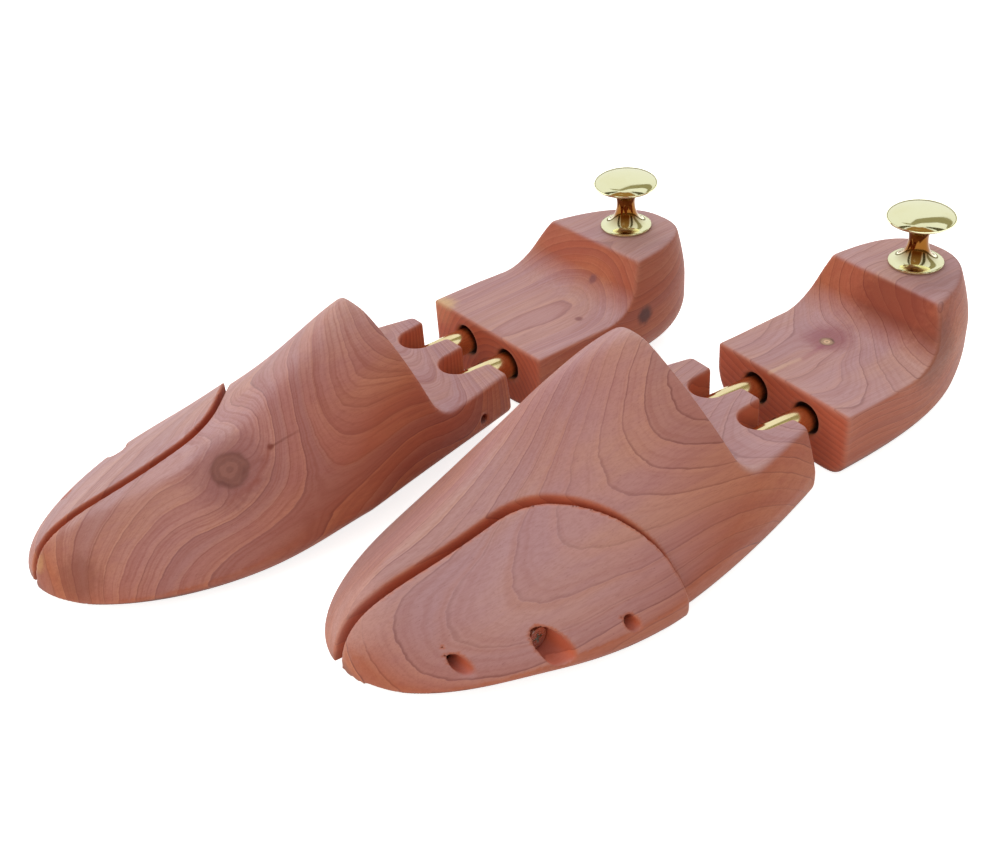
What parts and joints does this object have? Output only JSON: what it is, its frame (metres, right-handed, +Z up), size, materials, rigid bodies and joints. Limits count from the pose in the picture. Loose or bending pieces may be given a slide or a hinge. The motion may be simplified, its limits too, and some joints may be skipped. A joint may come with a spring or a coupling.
{
  "type": "shoe tree pair",
  "caption": "Pair of sprung cedar shoe trees, left and right, with twin brass tubes, a split sprung toe wing and a brass pull knob on the heel block.",
  "frame": {"origin": "centre of the pair's bounding box, on the surface it rests on", "axes": "+Z up; the toes point to -Y and the heels to +Y; the left tree is on the +X side and the right tree on the -X side"},
  "size_m": [0.2044, 0.3454, 0.0705],
  "materials": {
    "cedar": "finely sanded, no varnish",
    "brass": "satin",
    "polished_brass": "polished",
    "steel": "bright",
    "spring_steel": "bright wire"
  },
  "bodies": {
    "left_forepart": {"left_forepart_block": "cedar", "left_front_guide_pin": "steel", "left_rear_guide_pin": "steel", "left_wing_screw": "steel", "left_wing_spring": "spring_steel", "left_hinge_pin": "steel"},
    "left_wing": {"left_toe_wing": "cedar"},
    "left_tubes": {"left_inner_tube": "brass", "left_outer_tube": "brass", "left_inner_tube_stop": "steel", "left_outer_tube_stop": "steel"},
    "left_heel": {"left_heel_block": "cedar", "left_inner_bushing": "brass", "left_outer_bushing": "brass", "left_inner_spring": "spring_steel", "left_outer_spring": "spring_steel", "left_knob": "polished_brass", "left_knob_stud": "steel"},
    "right_forepart": {"right_forepart_block": "cedar", "right_front_guide_pin": "steel", "right_rear_guide_pin": "steel", "right_wing_screw": "steel", "right_wing_spring": "spring_steel", "right_hinge_pin": "steel"},
    "right_wing": {"right_toe_wing": "cedar"},
    "right_tubes": {"right_inner_tube": "brass", "right_outer_tube": "brass", "right_inner_tube_stop": "steel", "right_outer_tube_stop": "steel"},
    "right_heel": {"right_heel_block": "cedar", "right_inner_bushing": "brass", "right_outer_bushing": "brass", "right_inner_spring": "spring_steel", "right_outer_spring": "spring_steel", "right_knob": "polished_brass", "right_knob_stud": "steel"}
  },
  "joints": [
    {"name": "left_wing_slide", "type": "slide", "parent": "left_forepart", "child": "left_wing", "axis": [-0.9848, -0.1736, 0], "range_m": [0, 0.0032], "stiffness_N_per_m": 1200, "springref_m": -0.004, "deforming": ["left_wing_spring"]},
    {"name": "left_tube_hinge", "type": "hinge", "parent": "left_forepart", "child": "left_tubes", "pos_m": [0.04605, 0.05015, 0.0164], "axis": [1, 0, 0], "range_deg": [0, 12]},
    {"name": "left_heel_slide", "type": "slide", "parent": "left_tubes", "child": "left_heel", "axis": [0, -1, 0], "range_m": [0, 0.012], "stiffness_N_per_m": 800, "springref_m": -0.01, "deforming": ["left_inner_spring", "left_outer_spring"]},
    {"name": "right_wing_slide", "type": "slide", "parent": "right_forepart", "child": "right_wing", "axis": [0.9954, -0.0958, 0], "range_m": [0, 0.0032], "stiffness_N_per_m": 1200, "springref_m": -0.004, "deforming": ["right_wing_spring"]},
    {"name": "right_tube_hinge", "type": "hinge", "parent": "right_forepart", "child": "right_tubes", "pos_m": [-0.0516, -0.01226, 0.0164], "axis": [0.9969, 0.0785, 0], "range_deg": [0, 12]},
    {"name": "right_heel_slide", "type": "slide", "parent": "right_tubes", "child": "right_heel", "axis": [0.0785, -0.9969, 0], "range_m": [0, 0.012], "stiffness_N_per_m": 800, "springref_m": -0.01, "deforming": ["right_inner_spring", "right_outer_spring"]},
    {"name": "right_tree_lift", "type": "slide", "parent": "left_forepart", "child": "right_forepart", "axis": [0, 0, 1], "range_m": [0, 0.1]}
  ]
}
